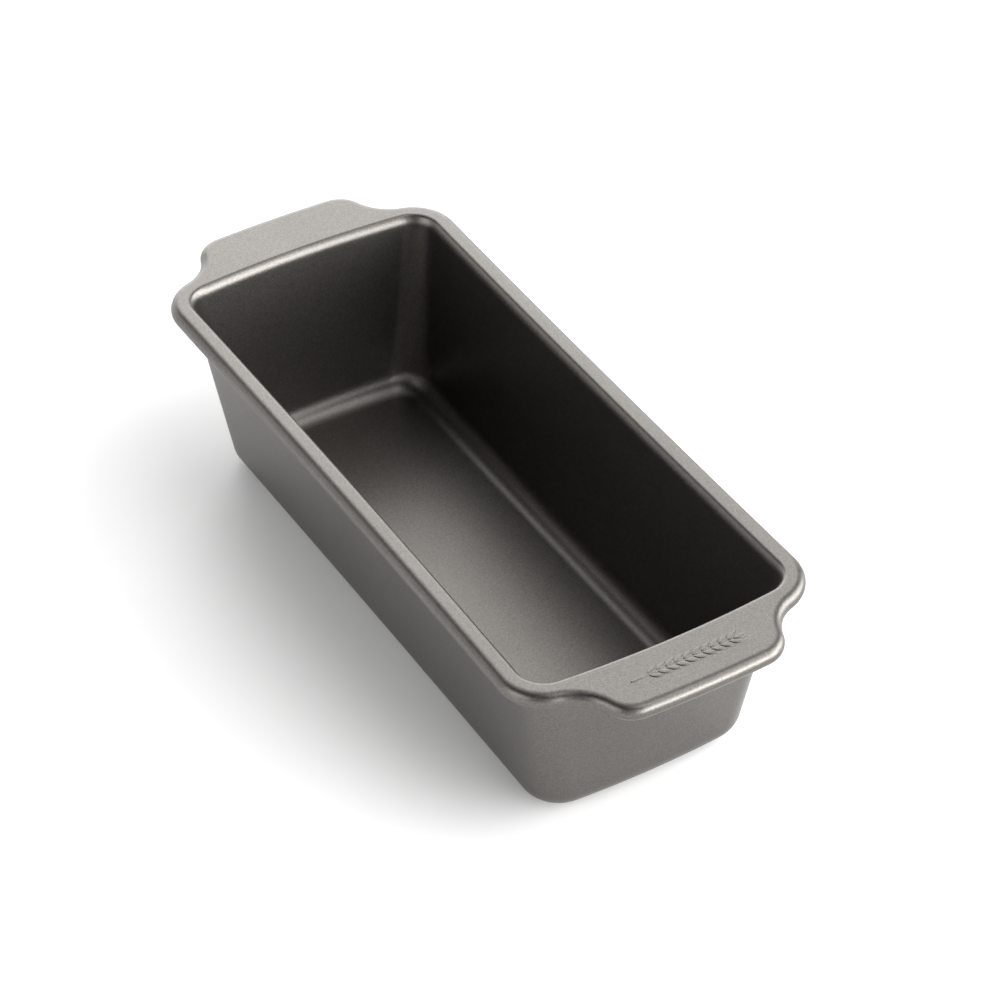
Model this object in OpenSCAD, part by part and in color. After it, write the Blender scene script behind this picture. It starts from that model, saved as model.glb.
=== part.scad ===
// Loaf pan: one deep-drawn steel sheet with a flange, two grip tabs and an edge that is
// curled around a closed steel wire. Millimetres, +Z up, origin at the middle of the base.
// +X runs along the pan's length and +Y across it.

/* [Mouth] */
// Length of the opening, on the flange at mid width
mouth_length = 250; // [230:1:280]
// Width of the opening, on the flange at mid length
mouth_width = 101.3; // [96:0.1:120]
// Corner radius of the opening
mouth_corner_r = 11.5; // [9:0.1:14]
// Outward bow of each short side of the opening
mouth_end_bow = 3; // [1:0.1:4]
// Inward bow of each long side of the opening
mouth_draw_in = 1; // [0.2:0.1:1.5]

/* [Walls and base] */
// Height of the flange's top face above the base
pan_height = 71.2; // [50:0.1:90]
// Distance that each end wall leans outward from the base to the mouth
end_lean = 10; // [6:0.1:16]
// Distance that each side wall leans outward from the base to the mouth
side_lean = 9.8; // [6:0.1:16]
// Corner radius of the base, outside, before the bottom radius
base_corner_r = 14.3; // [10:0.1:18]
// Outward bow of each short side of the base
base_end_bow = 2.1; // [1:0.1:4]
// Inward bow of each long side of the base
base_draw_in = 0.4; // [0.1:0.1:1]
// Outside radius between the base and the walls
bottom_r = 8; // [4:0.1:9]

/* [Rim] */
// Width of the rim beside a long side of the opening, at mid length
side_rim = 6.1; // [5.8:0.1:10]
// Width of the rim beyond the end of the opening, at the rim's corners
end_rim = 4.4; // [3.5:0.1:7]
// Outside corner radius of the rim
rim_corner_r = 17.7; // [14:0.1:22]
// Inward bow of each long side of the rim
rim_draw_in = 1; // [0.2:0.1:1.5]
// Outside diameter of the curled edge
bead_d = 6.4; // [6.2:0.1:6.8]
// Turn of the curl from the flange's top face to the sheet's edge, in degrees
curl_turn = 300; // [240:30:300]

/* [Grip tabs] */
// Distance from the end of the opening to the front of each tab
tab_reach = 22.7; // [19:0.1:30]
// Width of each tab
tab_width = 68.1; // [60:0.1:72]
// Radius of a tab's outer corners
tab_corner_r = 11.4; // [8:0.1:14]
// Radius of the hollow between a tab and the rim's corner
tab_shoulder_r = 17.2; // [12:0.1:20]
// Outward bow of a tab's front edge
tab_bow = 1.2; // [0.3:0.1:2]

/* [Raised mark] */
// Length of the raised ear of wheat on one tab
mark_length = 44; // [36:1:50]
// Distance from the front of the tab to the middle of the mark
mark_setback = 13; // [11:0.1:14]
// Height of the mark above the flange
mark_rise = 0.25; // [0.1:0.05:0.4]

/* [Sheet and wire] */
// Thickness of the coated sheet
sheet = 1; // [0.8:0.05:1]
// Radius of the top face where the flange turns down
bend_r = 1.8; // [1.6:0.1:2.6]
// Larger radius that eases the turn out into the wall
flare_r = 6; // [3:0.5:9]
// Diameter of the wire inside the curled edge
wire_d = 4.1; // [3:0.1:4.1]

/* [Hidden] */

// Overall sizes of the base and the rim, from the mouth
base_length = mouth_length - 2 * end_lean;
base_width = mouth_width - 2 * side_lean;
rim_length = mouth_length + 2 * end_rim;
rim_width = mouth_width + 2 * side_rim;
overall_length = mouth_length + 2 * tab_reach;
mark_x = overall_length / 2 - mark_setback;

bead_r = bead_d / 2;
bead_z = pan_height - bead_r;
bend_z = pan_height - bend_r;

// Slope at which the small radius of the bend hands over to the larger one
bend_turn = 50;

// Grains of the ear: pairs of them, their size and how far they lean out from the stalk
grain_pairs = 10;
grain_length = 5;
grain_width = 1.9;
grain_lean = 27;
grain_offset = 1.5;
grain_pitch = mark_length / 13;
stalk_width = 0.8;
stalk_length = 3.2 * grain_pitch;
mark_root = 0.5;

// Steps along each stretch of a quarter outline
tab_front_steps = 3;
tab_corner_steps = 4;
tab_shoulder_steps = 4;
corner_steps = 5;
side_steps = 5;
end_steps = tab_front_steps + tab_corner_steps + tab_shoulder_steps;

// Steps around each rounding of the section
bottom_steps = 6;
bend_steps = 3;
flare_steps = 4;
curl_steps = curl_turn / 30;
wire_steps = 12;

// ---- plane geometry ----

function heading(v) = atan2(v.y, v.x);

// Points from angle a0 up to, and not including, angle a1
function arc(centre, radius, a0, a1, steps) =
    [for (i = [0:steps - 1]) let (a = a0 + (a1 - a0) * i / steps) centre + radius * [cos(a), sin(a)]];

// Radius of an arc that rises by bow over a half chord; it is negative for an inward bow
function bow_radius(half_chord, bow) = (half_chord * half_chord + bow * bow) / (2 * bow);

// The point farther out where two circles meet
function meet(c0, r0, c1, r1) =
    let (gap = norm(c1 - c0), along = (c1 - c0) / gap)
    let (reach = (r0 * r0 - r1 * r1 + gap * gap) / (2 * gap))
    let (rise = sqrt(r0 * r0 - reach * reach) * [-along.y, along.x])
    let (foot = c0 + reach * along)
    rise.x + rise.y > 0 ? foot + rise : foot - rise;

// A full outline from its first quarter, which runs from the +X axis to the +Y axis
function all_quarters(q) =
    let (last = len(q) - 1)
    concat(
        q,
        [for (i = [last - 1:-1:0]) [-q[i].x, q[i].y]],
        [for (i = [1:last]) [-q[i].x, -q[i].y]],
        [for (i = [last - 1:-1:1]) [q[i].x, -q[i].y]]
    );

// Rounded rectangle with bowed sides: length, width, corner radius, end bow, side bow.
// grow moves the whole outline outward.
function tub_outline(size, grow) =
    let (half_l = size[0] / 2, half_w = size[1] / 2, corner_r = size[2])
    let (end_r = bow_radius(half_w, size[3]), side_r = bow_radius(half_l, size[4]))
    let (end_c = [half_l - end_r, 0], side_c = [0, half_w - side_r])
    let (corner_c = meet(end_c, abs(end_r - corner_r), side_c, abs(side_r - corner_r)))
    let (a1 = heading((corner_c - end_c) / (end_r - corner_r)))
    let (a2 = heading((corner_c - side_c) / (side_r - corner_r)))
    all_quarters(concat(
        arc(end_c, end_r + grow, 0, a1, end_steps),
        arc(corner_c, corner_r + grow, a1, a2, corner_steps),
        arc(side_c, side_r + grow, a2, 90, side_steps),
        [[0, half_w + grow]]
    ));

// Outer edge of the rim with its two tabs, moved inward by inset
function rim_outline(inset) =
    let (side_r = bow_radius(rim_length / 2, -rim_draw_in))
    let (side_c = [0, rim_width / 2 - side_r])
    let (corner_x = rim_length / 2 - rim_corner_r)
    let (corner_y = side_c.y - sqrt(pow(side_r - rim_corner_r, 2) - pow(corner_x, 2)))
    let (corner_c = [corner_x, corner_y])
    let (front_r = bow_radius(tab_width / 2, tab_bow))
    let (front_c = [overall_length / 2 - front_r, 0])
    let (tab_y = tab_width / 2 - tab_corner_r)
    let (tab_c = [front_c.x + sqrt(pow(front_r - tab_corner_r, 2) - pow(tab_y, 2)), tab_y])
    let (hollow_c = meet(corner_c, rim_corner_r + tab_shoulder_r, tab_c, tab_corner_r + tab_shoulder_r))
    let (a1 = heading(tab_c - front_c), a2 = heading(hollow_c - tab_c))
    let (a3 = heading(hollow_c - corner_c))
    let (a4 = heading((corner_c - side_c) / (side_r - rim_corner_r)))
    all_quarters(concat(
        arc(front_c, front_r - inset, 0, a1, tab_front_steps),
        arc(tab_c, tab_corner_r - inset, a1, a2, tab_corner_steps),
        arc(hollow_c, tab_shoulder_r + inset, a2 - 180, a3 - 180, tab_shoulder_steps),
        arc(corner_c, rim_corner_r - inset, a3, a4, corner_steps),
        arc(side_c, side_r - inset, a4, 90, side_steps),
        [[0, rim_width / 2 - inset]]
    ));

function mouth_outline(grow) =
    tub_outline([mouth_length, mouth_width, mouth_corner_r, mouth_end_bow, -mouth_draw_in], grow);

function base_outline(grow) =
    tub_outline([base_length, base_width, base_corner_r, base_end_bow, -base_draw_in], grow);

// ---- rings of points in space ----

function at_height(outline, z) = [for (p = outline) [p.x, p.y, z]];

// Point of the bend's section at slope a: its distance outward from the mouth, and its height
function bend_point(a, depth) =
    let (r = bend_r - sheet + depth, f = flare_r - sheet + depth, t = min(a, bend_turn))
    let (turned = a - t)
    [-r * sin(t), bend_z + r * cos(t)]
        + (turned > 0 ? f * [sin(t) - sin(a), cos(a) - cos(t)] : [0, 0]);

// Lean of the walls from the vertical, settled in a few rounds from a first guess
function settled_draft(guess, rounds) =
    let (top = bend_point(90 - guess, 0))
    rounds == 0 ? guess : settled_draft(atan(((end_lean + side_lean) / 2 + top[0]) / top[1]), rounds - 1);

draft = settled_draft(8, 4);

// Ring of the wall at height z. depth is how far the face lies inside the outer face.
function wall_ring(z, depth, grow) =
    let (top = bend_point(90 - draft, depth))
    let (share = z / top[1])
    let (low = base_outline(grow - depth), high = mouth_outline(grow + top[0]))
    at_height(low * (1 - share) + high * share, z);

// Rings from the flat bottom up the rounded foot of the wall
function foot_rings(depth) =
    let (r = bottom_r - depth)
    [for (i = [0:bottom_steps]) let (a = 90 * i / bottom_steps)
        wall_ring(depth + r * (1 - cos(a)), depth, -r * (1 - sin(a)))];

// Rings from the top of the wall around the bend to the flange
function bend_rings(depth) =
    let (end = 90 - draft)
    let (flare = [for (i = [0:flare_steps - 1]) end + (bend_turn - end) * i / flare_steps])
    let (bend = [for (i = [0:bend_steps]) bend_turn * (1 - i / bend_steps)])
    [for (a = concat(flare, bend)) let (p = bend_point(a, depth)) at_height(mouth_outline(p[0]), p[1])];

// Rings around the curled edge, from the flange to the sheet's free edge
function curl_rings(r) =
    [for (i = [0:curl_steps]) let (a = 90 - curl_turn * i / curl_steps)
        at_height(rim_outline(bead_r - r * cos(a)), bead_z + r * sin(a))];

function reversed(list) = [for (i = [len(list) - 1:-1:0]) list[i]];

// ---- solids from rings ----

// Triangles that join ring k to the next one, for count rings of size points each
function band_faces(k, count, size) =
    [for (i = [0:size - 1]) let (j = (i + 1) % size, here = k * size, next = ((k + 1) % count) * size)
        each [[here + i, next + j, next + i], [here + i, here + j, next + j]]];

// Solid between the first ring and the last, which are both flat
module capped_skin(rings) {
    size = len(rings[0]);
    count = len(rings);
    first_cap = [for (i = [size - 1:-1:0]) i];
    last_cap = [for (i = [0:size - 1]) (count - 1) * size + i];
    bands = [for (k = [0:count - 2]) each band_faces(k, count, size)];
    polyhedron([for (ring = rings) each ring], concat([first_cap, last_cap], bands), convexity = 8);
}

// Closed loop of rings, such as a wire
module looped_skin(rings) {
    count = len(rings);
    bands = [for (k = [0:count - 1]) each band_faces(k, count, len(rings[0]))];
    polyhedron([for (ring = rings) each ring], bands, convexity = 8);
}

// ---- the raised mark ----

// Flat leaf shape along +Y, pointed at both ends
module leaf(length, width) {
    r = (length * length + width * width) / (4 * width);
    intersection() {
        translate([r - width / 2, 0]) circle(r, $fn = 72);
        translate([width / 2 - r, 0]) circle(r, $fn = 72);
    }
}

// Ear of wheat along +Y, with its middle at the origin: pairs of grains, a last grain and a stalk
module wheat_ear() {
    tip_y = (mark_length - grain_length) / 2;
    for (i = [1:grain_pairs], side = [-1, 1])
        translate([side * grain_offset, tip_y + grain_pitch * (0.35 - i)])
            rotate(-side * grain_lean)
                leaf(grain_length, grain_width);
    translate([0, tip_y]) leaf(grain_length, grain_width);
    translate([-stalk_width / 2, -mark_length / 2]) square([stalk_width, stalk_length]);
}

// ---- sub-parts ----

// The pressed and coated sheet, from the inside of the floor over the curl to the underside
module pan_shell() {
    inside = concat(foot_rings(sheet), bend_rings(sheet), curl_rings(bead_r));
    outside = concat(foot_rings(0), bend_rings(0), curl_rings(bead_r - sheet));
    color([0.56, 0.54, 0.52]) {
        capped_skin(concat(inside, reversed(outside)));
        translate([mark_x, 0, pan_height - mark_root])
            linear_extrude(mark_root + mark_rise)
                wheat_ear();
    }
}

// The closed wire that the edge is curled around
module rim_wire() {
    color([0.72, 0.72, 0.73])
        looped_skin([for (i = [0:wire_steps - 1]) let (a = -360 * i / wire_steps, r = wire_d / 2)
            at_height(rim_outline(bead_r - r * cos(a)), bead_z + r * sin(a))]);
}

pan_shell();
rim_wire();
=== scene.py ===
"""Loaf pan in satin metallic non-stick coating, on a white studio floor.

The pan is one pressed sheet, swept from the same outlines as the CAD part but much finer, and a
closed wire inside its curled edge. Lengths are millimetres, or metres where a comment says so.
"""
import math

import bpy
from mathutils import Matrix, Vector


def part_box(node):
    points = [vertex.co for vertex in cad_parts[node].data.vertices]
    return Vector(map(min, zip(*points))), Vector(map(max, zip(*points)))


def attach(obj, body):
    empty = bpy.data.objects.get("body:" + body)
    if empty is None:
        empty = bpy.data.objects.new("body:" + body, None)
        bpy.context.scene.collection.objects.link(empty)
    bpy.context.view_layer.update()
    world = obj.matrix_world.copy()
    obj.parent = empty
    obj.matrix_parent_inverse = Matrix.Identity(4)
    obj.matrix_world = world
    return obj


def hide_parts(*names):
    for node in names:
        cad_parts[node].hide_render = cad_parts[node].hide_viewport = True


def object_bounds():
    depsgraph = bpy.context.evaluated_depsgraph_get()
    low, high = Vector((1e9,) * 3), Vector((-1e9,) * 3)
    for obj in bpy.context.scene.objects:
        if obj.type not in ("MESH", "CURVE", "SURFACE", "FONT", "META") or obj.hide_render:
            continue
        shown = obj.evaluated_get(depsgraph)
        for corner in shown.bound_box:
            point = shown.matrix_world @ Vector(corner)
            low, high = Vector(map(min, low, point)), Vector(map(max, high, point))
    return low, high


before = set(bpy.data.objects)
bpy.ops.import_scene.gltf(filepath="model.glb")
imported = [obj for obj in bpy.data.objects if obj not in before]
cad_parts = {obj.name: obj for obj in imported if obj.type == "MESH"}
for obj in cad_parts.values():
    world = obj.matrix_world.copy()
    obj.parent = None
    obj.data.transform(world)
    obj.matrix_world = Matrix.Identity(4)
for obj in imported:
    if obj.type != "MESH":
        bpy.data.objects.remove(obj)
CAD_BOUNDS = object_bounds()

# Overall length and height, from the box of the CAD shell, which is in metres
MM = 0.001
SHELL_LOW, SHELL_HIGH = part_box("pan_shell")
OVERALL_LENGTH = (SHELL_HIGH[0] - SHELL_LOW[0]) / MM
MARK_RISE = 0.25
PAN_HEIGHT = (SHELL_HIGH[2] - SHELL_LOW[2]) / MM - MARK_RISE

# Rounded rectangles with bowed sides: length, width, corner radius, end bow, side bow.
# The sides' bow is negative because the long sides draw in.
MOUTH = (250, 101.3, 11.5, 3, -1)
BASE = (230, 81.7, 14.3, 2.1, -0.4)

# Outer edge of the rim, and its grip tabs
RIM_LENGTH = 258.8
RIM_WIDTH = 113.5
RIM_CORNER_R = 17.7
RIM_DRAW_IN = 1
TAB_WIDTH = 68.1
TAB_CORNER_R = 11.4
TAB_SHOULDER_R = 17.2
TAB_BOW = 1.2

# Section of the sheet: the bend's small radius hands over to the flare's at the bend's turn
SHEET = 1.0
BOTTOM_R = 8.0
BEND_R = 1.8
FLARE_R = 6.0
BEND_TURN = math.radians(50)
BEAD_R = 3.2
CURL_TURN = 300
WIRE_R = 2.05
BEAD_Z = PAN_HEIGHT - BEAD_R
BEND_Z = PAN_HEIGHT - BEND_R

# Raised ear of wheat on one tab: its place, and the size and lean of its grains. The first pair
# stands one pitch, less its lift, behind the last grain.
MARK_LENGTH = 44
MARK_SETBACK = 13
MARK_X = OVERALL_LENGTH / 2 - MARK_SETBACK
MARK_ROOT = 0.3
GRAIN_PAIRS = 10
GRAIN_LENGTH = 5
GRAIN_WIDTH = 1.9
GRAIN_LEAN = math.radians(27)
GRAIN_OFFSET = 1.5
MARK_PITCHES = 13
GRAIN_PITCH = MARK_LENGTH / MARK_PITCHES
PAIR_LIFT = 0.35
STALK_WIDTH = 0.8
STALK_PITCHES = 3.2
STALK_LENGTH = STALK_PITCHES * GRAIN_PITCH

# Dome of the mark's shapes: inset from the outline, and share of the rise. A grain's points draw
# in faster than its sides.
POINT_INSET = 3
DOME_PROFILE = [(0, -MARK_ROOT), (0, 0.3), (0.06, 0.65), (0.16, 0.88), (0.28, 0.98), (0.36, 1)]

# Steps along each stretch of a quarter outline
TAB_FRONT_STEPS = 10
TAB_CORNER_STEPS = 14
TAB_SHOULDER_STEPS = 14
CORNER_STEPS = 18
SIDE_STEPS = 28
END_STEPS = TAB_FRONT_STEPS + TAB_CORNER_STEPS + TAB_SHOULDER_STEPS

# Steps around each rounding of the section
BOTTOM_STEPS = 14
BEND_STEPS = 8
FLARE_STEPS = 8
CURL_STEPS = 36
WALL_STEPS = 10
WIRE_STEPS = 20

# Steps along each half of the outline of one of the mark's shapes
MARK_STEPS = 12

# Extra rings that keep the flat faces flat in their shading: sizes of the rings on the floor as
# shares of its edge, share of the wall's height at each of its ends, and distance of the
# flange's rings from its two roundings
FLOOR_SHARES = (0.15, 0.4, 0.65, 0.85, 0.97, 0.99)
WALL_MARGIN = 0.02
SUPPORT = 0.35

# Search for the walls' lean: its first guess and its rounds
FIRST_DRAFT = math.radians(8)
DRAFT_ROUNDS = 6

# Camera: where it looks from, in degrees around and above the pan, and its roll. Its distance,
# the place it looks at and its shifts from there are in metres.
CAMERA_AZIMUTH = 59.47
CAMERA_ELEVATION = 40.27
CAMERA_ROLL = -0.73
CAMERA_DISTANCE = 1.2313
CAMERA_TARGET = Vector((0, 0, 0.03365))
CAMERA_RIGHT = 0.00889
CAMERA_UP = 0.00460
CAMERA_LENS = 126.57
SENSOR_WIDTH = 36

# Coating: colour of its metal, spread of its roughness, and the size and contrast of its flakes,
# its fine grain and its faint clouds. The spreads are factors on the colour. The bump's depth is
# in metres.
COATING_COLOUR = (0.137, 0.129, 0.121)
COATING_ROUGHNESS = (0.34, 0.40)
FLAKE_SCALE = 3200
FLAKE_SPREAD = (0.83, 1.17)
GRAIN_SCALE = 1500
GRAIN_SPREAD = (0.90, 1.10)
CLOUD_SCALE = 30
CLOUD_SPREAD = (0.97, 1.03)
BUMP_STRENGTH = 0.12
BUMP_DEPTH = 0.0001

# Wire: its darkest and lightest steel, the size of its draw lines, and the spread of its roughness
WIRE_DARK = (0.30, 0.30, 0.31, 1)
WIRE_LIGHT = (0.50, 0.50, 0.51, 1)
WIRE_LINE_SCALE = 900
WIRE_ROUGHNESS = (0.25, 0.40)

# Studio floor: half its size in metres, and its matt white
FLOOR_HALF = 12.0
FLOOR_WHITE = (0.92, 0.92, 0.92, 1)
FLOOR_ROUGHNESS = 0.9
FLOOR_SPECULAR = 0.1

# Soft patches of light in the room: azimuth, elevation and half angle in degrees, and radiance
ROOM_PATCHES = {
    "low_window": (21, 11, 34, 5.8),
    "low_glow": (19.5, -7.5, 37, 4.5),
    "tall_window": (67, 6, 47, 8.4),
    "window_head": (60, 40, 30, 1.2),
    "side_head": (100, 35, 30, 0.6),
    "back_wall": (154, 12, 39, 4.2),
    "back_head": (150, 38, 24, 1.2),
    "back_top": (160, 59.5, 30, 1.4),
    "ceiling": (44.5, 68, 26, 2.3),
    "end_wall": (200, 10, 30, 1.9),
    "front_wall": (237, 20, 34, 0.7),
    "front_card": (275, 20, 32, 2.9),
    "right_card": (340, 20, 30, 0.9),
}

# Part of a noise's range that carries its pattern
NOISE_SPAN = (0.3, 0.7)


# ---- outlines in the plane ----

def heading(v):
    return math.atan2(v.y, v.x)


def arc(centre, radius, a0, a1, steps):
    """Points from angle a0 up to, and not including, angle a1."""
    angles = [a0 + (a1 - a0) * i / steps for i in range(steps)]
    return [centre + radius * Vector((math.cos(a), math.sin(a))) for a in angles]


def bow_radius(half_chord, bow):
    """Radius of an arc that rises by bow over a half chord; negative for an inward bow."""
    return (half_chord ** 2 + bow ** 2) / (2 * bow)


def meet(c0, r0, c1, r1):
    """The point farther out where two circles meet."""
    gap = (c1 - c0).length
    along = (c1 - c0) / gap
    reach = (r0 ** 2 - r1 ** 2 + gap ** 2) / (2 * gap)
    rise = math.sqrt(r0 ** 2 - reach ** 2) * Vector((-along.y, along.x))
    foot = c0 + reach * along
    return foot + rise if rise.x + rise.y > 0 else foot - rise


def all_quarters(q):
    """A full outline from its first quarter, which runs from the +X axis to the +Y axis."""
    second = [Vector((-p.x, p.y)) for p in reversed(q[:-1])]
    third = [-p for p in q[1:]]
    fourth = [Vector((p.x, -p.y)) for p in reversed(q[1:-1])]
    return q + second + third + fourth


def tub_outline(size, grow):
    """Rounded rectangle with bowed sides, moved outward by grow."""
    length, width, corner_r, end_bow, side_bow = size
    end_r = bow_radius(width / 2, end_bow)
    side_r = bow_radius(length / 2, side_bow)
    end_c = Vector((length / 2 - end_r, 0))
    side_c = Vector((0, width / 2 - side_r))
    corner_c = meet(end_c, abs(end_r - corner_r), side_c, abs(side_r - corner_r))
    a1 = heading((corner_c - end_c) / (end_r - corner_r))
    a2 = heading((corner_c - side_c) / (side_r - corner_r))
    return all_quarters(
        arc(end_c, end_r + grow, 0, a1, END_STEPS)
        + arc(corner_c, corner_r + grow, a1, a2, CORNER_STEPS)
        + arc(side_c, side_r + grow, a2, math.pi / 2, SIDE_STEPS)
        + [Vector((0, width / 2 + grow))]
    )


def rim_outline(inset):
    """Outer edge of the rim with its two tabs, moved inward by inset."""
    side_r = bow_radius(RIM_LENGTH / 2, -RIM_DRAW_IN)
    side_c = Vector((0, RIM_WIDTH / 2 - side_r))
    corner_x = RIM_LENGTH / 2 - RIM_CORNER_R
    corner_y = side_c.y - math.sqrt((side_r - RIM_CORNER_R) ** 2 - corner_x ** 2)
    corner_c = Vector((corner_x, corner_y))
    front_r = bow_radius(TAB_WIDTH / 2, TAB_BOW)
    front_c = Vector((OVERALL_LENGTH / 2 - front_r, 0))
    tab_y = TAB_WIDTH / 2 - TAB_CORNER_R
    tab_c = Vector((front_c.x + math.sqrt((front_r - TAB_CORNER_R) ** 2 - tab_y ** 2), tab_y))
    hollow_c = meet(corner_c, RIM_CORNER_R + TAB_SHOULDER_R, tab_c, TAB_CORNER_R + TAB_SHOULDER_R)
    a1 = heading(tab_c - front_c)
    a2 = heading(hollow_c - tab_c)
    a3 = heading(hollow_c - corner_c)
    a4 = heading((corner_c - side_c) / (side_r - RIM_CORNER_R))
    return all_quarters(
        arc(front_c, front_r - inset, 0, a1, TAB_FRONT_STEPS)
        + arc(tab_c, TAB_CORNER_R - inset, a1, a2, TAB_CORNER_STEPS)
        + arc(hollow_c, TAB_SHOULDER_R + inset, a2 - math.pi, a3 - math.pi, TAB_SHOULDER_STEPS)
        + arc(corner_c, RIM_CORNER_R - inset, a3, a4, CORNER_STEPS)
        + arc(side_c, side_r - inset, a4, math.pi / 2, SIDE_STEPS)
        + [Vector((0, RIM_WIDTH / 2 - inset))]
    )


# ---- rings of the sheet's section ----

def at_height(outline, z):
    return [Vector((p.x, p.y, z)) for p in outline]


def between(low, high, share):
    return [a.lerp(b, share) for a, b in zip(low, high)]


def bend_point(slope, depth):
    """The bend's section at a slope: distance outward from the mouth, and height."""
    r = BEND_R - SHEET + depth
    flare = FLARE_R - SHEET + depth
    turn = min(slope, BEND_TURN)
    out = -r * math.sin(turn) - flare * (math.sin(slope) - math.sin(turn))
    up = r * math.cos(turn) + flare * (math.cos(slope) - math.cos(turn))
    return out, BEND_Z + up


def settled_draft():
    """Lean of the walls from the vertical, settled in a few rounds from a first guess."""
    lean = (MOUTH[0] - BASE[0] + MOUTH[1] - BASE[1]) / 4
    draft = FIRST_DRAFT
    for _ in range(DRAFT_ROUNDS):
        out, height = bend_point(math.pi / 2 - draft, 0)
        draft = math.atan((lean + out) / height)
    return draft


DRAFT = settled_draft()


def wall_ring(z, depth, grow):
    """Ring of the wall at height z, on the face that lies depth inside the outer face."""
    out, top_z = bend_point(math.pi / 2 - DRAFT, depth)
    low = tub_outline(BASE, grow - depth)
    high = tub_outline(MOUTH, grow + out)
    return at_height(between(low, high, z / top_z), z)


def floor_rings(depth):
    """Rings that shrink over the flat floor, from its middle to its edge."""
    edge = wall_ring(depth, depth, depth - BOTTOM_R)
    return [[Vector((p.x * s, p.y * s, p.z)) for p in edge] for s in FLOOR_SHARES]


def foot_rings(depth):
    """Rings from the flat floor up the rounded foot of the wall."""
    r = BOTTOM_R - depth
    angles = [math.pi / 2 * i / BOTTOM_STEPS for i in range(BOTTOM_STEPS + 1)]
    return [wall_ring(depth + r * (1 - math.cos(a)), depth, -r * (1 - math.sin(a))) for a in angles]


def bend_rings(depth):
    """Rings from the top of the wall around the bend to the flange."""
    end = math.pi / 2 - DRAFT
    flare = [end + (BEND_TURN - end) * i / FLARE_STEPS for i in range(FLARE_STEPS)]
    bend = [BEND_TURN * (1 - i / BEND_STEPS) for i in range(BEND_STEPS + 1)]
    points = [bend_point(slope, depth) for slope in flare + bend]
    return [at_height(tub_outline(MOUTH, out), z) for out, z in points]


def wall_rings(low, high):
    """Rings up the straight part of a wall, between its foot and its bend."""
    inner_shares = [i / WALL_STEPS for i in range(1, WALL_STEPS)]
    shares = [WALL_MARGIN] + inner_shares + [1 - WALL_MARGIN]
    return [between(low, high, s) for s in shares]


def flange_rings(depth):
    """Rings over the flat flange, from the bend to the curled edge."""
    z = PAN_HEIGHT - depth
    inner = at_height(tub_outline(MOUTH, SUPPORT), z)
    outer = at_height(rim_outline(BEAD_R + SUPPORT), z)
    return [inner, between(inner, outer, 1 / 3), between(inner, outer, 2 / 3), outer]


def curl_rings(r):
    """Rings around the curled edge, from the flange to the sheet's free edge."""
    angles = [math.radians(90 - CURL_TURN * i / CURL_STEPS) for i in range(CURL_STEPS + 1)]
    return [at_height(rim_outline(BEAD_R - r * math.cos(a)), BEAD_Z + r * math.sin(a)) for a in angles]


def face_rings(depth, curl_r):
    """All the rings of one face of the sheet, from the middle of the floor to its free edge."""
    foot = foot_rings(depth)
    bend = bend_rings(depth)
    wall = wall_rings(foot[-1], bend[0])
    return floor_rings(depth) + foot + wall + bend + flange_rings(SHEET - depth) + curl_rings(curl_r)


# ---- meshes from rings ----

def skin(rings, looped=False):
    """Points and faces over rings: a closed loop of rings, or one that is capped by fans."""
    size = len(rings[0])
    count = len(rings)
    points = [p for ring in rings for p in ring]
    faces = []
    for k in range(count if looped else count - 1):
        here, there = k * size, ((k + 1) % count) * size
        for i in range(size):
            j = (i + 1) % size
            faces.append((here + i, here + j, there + j, there + i))
    if not looped:
        for k, turn in ((0, 1), (count - 1, -1)):
            points.append(sum(rings[k], Vector((0, 0, 0))) / size)
            middle = len(points) - 1
            for i in range(size):
                faces.append((k * size + (i + 1) % size, k * size + i, middle)[::turn])
    return points, faces


def joined(parts):
    """One list of points and one of faces from several parts."""
    points, faces = [], []
    for part_points, part_faces in parts:
        start = len(points)
        points += part_points
        faces += [tuple(start + i for i in face) for face in part_faces]
    return points, faces


def add_piece(name, parts, material, node):
    """Smooth mesh object, from points in millimetres, that stands for a CAD node."""
    points, faces = joined(parts)
    mesh = bpy.data.meshes.new(name)
    mesh.from_pydata([p * MM for p in points], [], faces)
    mesh.shade_smooth()
    mesh.materials.append(material)
    piece = bpy.data.objects.new(name, mesh)
    bpy.context.scene.collection.objects.link(piece)
    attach(piece, "root")
    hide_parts(node)


# ---- the raised mark ----

def leaf_outline(inset):
    """Leaf shape along +Y, pointed at both ends, moved inward by inset."""
    width = GRAIN_WIDTH - 2 * inset
    length = GRAIN_LENGTH - POINT_INSET * inset
    r = (length ** 2 + width ** 2) / (4 * width)
    half_turn = math.asin(length / 2 / r)
    centre = Vector((width / 2 - r, 0))
    right = arc(centre, r, -half_turn, half_turn, MARK_STEPS)
    left = arc(-centre, r, math.pi - half_turn, math.pi + half_turn, MARK_STEPS)
    return right + left


def stalk_outline(inset):
    """Bar with round ends along +Y, moved inward by inset."""
    r = STALK_WIDTH / 2
    reach = Vector((0, STALK_LENGTH / 2 - r))
    end = arc(reach, r - inset, 0, math.pi, MARK_STEPS)
    return end + arc(-reach, r - inset, math.pi, 2 * math.pi, MARK_STEPS)


def raised_shape(outline, x, y, lean):
    """A low dome over an outline, rooted in the flange and standing proud of it."""
    rings = []
    for inset, height in DOME_PROFILE:
        z = PAN_HEIGHT + MARK_RISE * height
        turned = [Matrix.Rotation(lean, 2) @ p for p in outline(inset)]
        rings.append([Vector((x + p.x, y + p.y, z)) for p in turned])
    return skin(rings)


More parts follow.
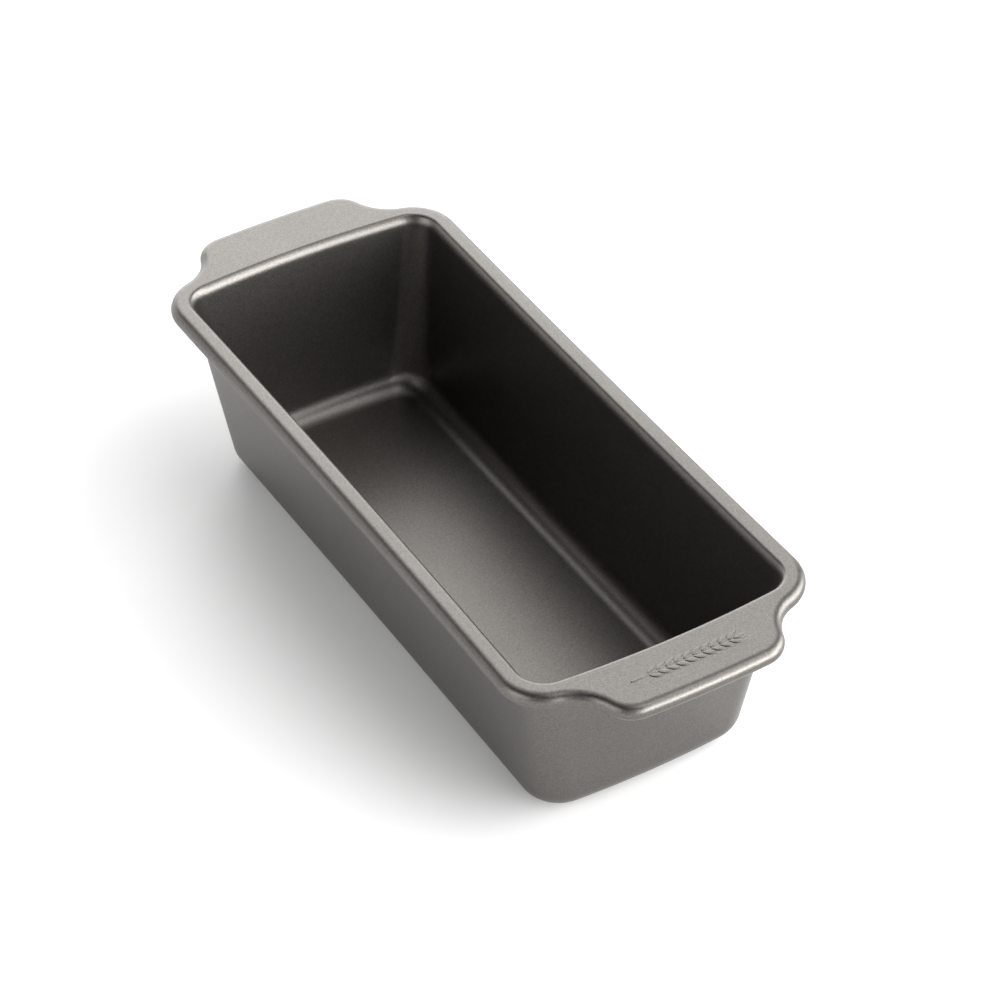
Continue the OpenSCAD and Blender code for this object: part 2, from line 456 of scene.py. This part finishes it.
def wheat_ear():
    """Pairs of grains along +Y, a last grain and a stalk."""
    tip_y = (MARK_LENGTH - GRAIN_LENGTH) / 2
    parts = [raised_shape(leaf_outline, MARK_X, tip_y, 0)]
    for i in range(1, GRAIN_PAIRS + 1):
        y = tip_y + GRAIN_PITCH * (PAIR_LIFT - i)
        for side in (-1, 1):
            parts.append(raised_shape(leaf_outline, MARK_X + side * GRAIN_OFFSET, y, -side * GRAIN_LEAN))
    stalk_y = (STALK_LENGTH - MARK_LENGTH) / 2
    parts.append(raised_shape(stalk_outline, MARK_X, stalk_y, 0))
    return joined(parts)


# ---- materials ----

def new_material(name):
    material = bpy.data.materials.new(name)
    material.use_nodes = True
    nodes = material.node_tree.nodes
    shader = nodes["Principled BSDF"]
    return material, nodes, material.node_tree.links, shader


def noise(nodes, links, coords, scale, detail):
    node = nodes.new("ShaderNodeTexNoise")
    node.inputs["Scale"].default_value = scale
    node.inputs["Detail"].default_value = detail
    links.new(coords, node.inputs["Vector"])
    return node.outputs["Fac"]


def remap(nodes, links, value, span, target):
    node = nodes.new("ShaderNodeMapRange")
    node.inputs["From Min"].default_value = span[0]
    node.inputs["From Max"].default_value = span[1]
    node.inputs["To Min"].default_value = target[0]
    node.inputs["To Max"].default_value = target[1]
    links.new(value, node.inputs["Value"])
    return node.outputs["Result"]


def combine(nodes, links, operation, first, second):
    node = nodes.new("ShaderNodeMath")
    node.operation = operation
    links.new(first, node.inputs[0])
    links.new(second, node.inputs[1])
    return node.outputs[0]


def coating_material():
    """Satin metallic non-stick coating: a warm grey full of fine flakes."""
    material, nodes, links, shader = new_material("coating")
    coords = nodes.new("ShaderNodeTexCoord").outputs["Object"]
    flakes = nodes.new("ShaderNodeTexVoronoi")
    flakes.inputs["Scale"].default_value = FLAKE_SCALE
    links.new(coords, flakes.inputs["Vector"])
    grain = noise(nodes, links, coords, GRAIN_SCALE, detail=3)
    clouds = noise(nodes, links, coords, CLOUD_SCALE, detail=2)

    separate = nodes.new("ShaderNodeSeparateColor")
    links.new(flakes.outputs["Color"], separate.inputs["Color"])
    flake_level = remap(nodes, links, separate.outputs["Red"], (0, 1), FLAKE_SPREAD)
    grain_level = remap(nodes, links, grain, NOISE_SPAN, GRAIN_SPREAD)
    cloud_level = remap(nodes, links, clouds, NOISE_SPAN, CLOUD_SPREAD)
    fine_level = combine(nodes, links, "MULTIPLY", flake_level, grain_level)
    level = combine(nodes, links, "MULTIPLY", fine_level, cloud_level)
    tint = nodes.new("ShaderNodeVectorMath")
    tint.operation = "SCALE"
    tint.inputs[0].default_value = COATING_COLOUR
    links.new(level, tint.inputs["Scale"])
    links.new(tint.outputs["Vector"], shader.inputs["Base Color"])

    links.new(remap(nodes, links, grain, NOISE_SPAN, COATING_ROUGHNESS), shader.inputs["Roughness"])
    bump = nodes.new("ShaderNodeBump")
    bump.inputs["Strength"].default_value = BUMP_STRENGTH
    bump.inputs["Distance"].default_value = BUMP_DEPTH
    links.new(grain, bump.inputs["Height"])
    links.new(bump.outputs["Normal"], shader.inputs["Normal"])
    shader.inputs["Metallic"].default_value = 1.0
    return material


def wire_material():
    """Plain drawn steel with fine draw lines."""
    material, nodes, links, shader = new_material("drawn_wire")
    coords = nodes.new("ShaderNodeTexCoord").outputs["Object"]
    scratches = noise(nodes, links, coords, WIRE_LINE_SCALE, detail=4)
    ramp = nodes.new("ShaderNodeValToRGB")
    ramp.color_ramp.elements[0].color = WIRE_DARK
    ramp.color_ramp.elements[1].color = WIRE_LIGHT
    links.new(scratches, ramp.inputs["Fac"])
    links.new(ramp.outputs["Color"], shader.inputs["Base Color"])
    links.new(remap(nodes, links, scratches, NOISE_SPAN, WIRE_ROUGHNESS), shader.inputs["Roughness"])
    shader.inputs["Metallic"].default_value = 1.0
    return material


def floor_material():
    """Matt white studio board."""
    material, _, _, shader = new_material("studio_white")
    shader.inputs["Base Color"].default_value = FLOOR_WHITE
    shader.inputs["Roughness"].default_value = FLOOR_ROUGHNESS
    shader.inputs["Specular IOR Level"].default_value = FLOOR_SPECULAR
    return material


# ---- sub-parts ----

def build_pan_shell():
    rings = face_rings(0, BEAD_R - SHEET) + face_rings(SHEET, BEAD_R)[::-1]
    parts = [skin(rings), wheat_ear()]
    add_piece("pan_shell_pressing", parts, coating_material(), "pan_shell")


def build_rim_wire():
    angles = [2 * math.pi * i / WIRE_STEPS for i in range(WIRE_STEPS)]
    rings = [
        at_height(rim_outline(BEAD_R - WIRE_R * math.cos(a)), BEAD_Z + WIRE_R * math.sin(a))
        for a in angles
    ]
    add_piece("rim_wire_ring", [skin(rings, looped=True)], wire_material(), "rim_wire")


# ---- studio ----

def build_floor():
    mesh = bpy.data.meshes.new("studio_floor")
    corners = [(FLOOR_HALF * x, FLOOR_HALF * y, 0) for x, y in ((-1, -1), (1, -1), (1, 1), (-1, 1))]
    mesh.from_pydata(corners, [], [(0, 1, 2, 3)])
    floor = bpy.data.objects.new("studio_floor", mesh)
    bpy.context.scene.collection.objects.link(floor)
    floor.data.materials.append(floor_material())
    floor.location.z = CAD_BOUNDS[0][2]


def facing(azimuth, elevation):
    """Unit vector towards a place in the room, with its angles in degrees from the +X axis."""
    az, el = math.radians(azimuth), math.radians(elevation)
    return Vector((math.cos(az) * math.cos(el), math.sin(az) * math.cos(el), math.sin(el)))


def room_patch(nodes, links, coords, azimuth, elevation, half_angle, radiance):
    """A round patch of the room that is brightest in the middle and fades to its edge."""
    toward = nodes.new("ShaderNodeVectorMath")
    toward.operation = "DOT_PRODUCT"
    toward.inputs[1].default_value = facing(azimuth, elevation)
    links.new(coords, toward.inputs[0])
    fade = nodes.new("ShaderNodeMapRange")
    fade.interpolation_type = "SMOOTHSTEP"
    fade.inputs["From Min"].default_value = math.cos(math.radians(half_angle))
    fade.inputs["From Max"].default_value = 1
    fade.inputs["To Max"].default_value = radiance
    links.new(toward.outputs["Value"], fade.inputs["Value"])
    return fade.outputs["Result"]


def build_world():
    """White studio room, lit by the sum of its soft patches."""
    world = bpy.data.worlds.new("studio_room")
    world.use_nodes = True
    nodes, links = world.node_tree.nodes, world.node_tree.links
    coords = nodes.new("ShaderNodeTexCoord").outputs["Generated"]
    total = None
    for values in ROOM_PATCHES.values():
        level = room_patch(nodes, links, coords, *values)
        total = level if total is None else combine(nodes, links, "ADD", total, level)
    nodes["Background"].inputs["Color"].default_value = (1, 1, 1, 1)
    links.new(total, nodes["Background"].inputs["Strength"])
    bpy.context.scene.world = world


def build_camera():
    az, el, roll = (math.radians(a) for a in (CAMERA_AZIMUTH, CAMERA_ELEVATION, CAMERA_ROLL))
    back = Vector((math.sin(az) * math.cos(el), -math.cos(az) * math.cos(el), math.sin(el)))
    level_right = Vector((math.cos(az), math.sin(az), 0))
    level_up = back.cross(level_right)
    right = math.cos(roll) * level_right + math.sin(roll) * level_up
    up = math.cos(roll) * level_up - math.sin(roll) * level_right
    data = bpy.data.cameras.new("camera")
    data.lens = CAMERA_LENS
    data.sensor_width = SENSOR_WIDTH
    camera = bpy.data.objects.new("camera", data)
    camera.matrix_world = Matrix((right, up, back)).transposed().to_4x4()
    camera.location = CAMERA_TARGET + CAMERA_RIGHT * right + CAMERA_UP * up + CAMERA_DISTANCE * back
    bpy.context.scene.collection.objects.link(camera)
    bpy.context.scene.camera = camera


build_camera()
build_pan_shell()
build_rim_wire()
build_floor()
build_world()
bpy.context.scene.view_settings.view_transform = "Standard"
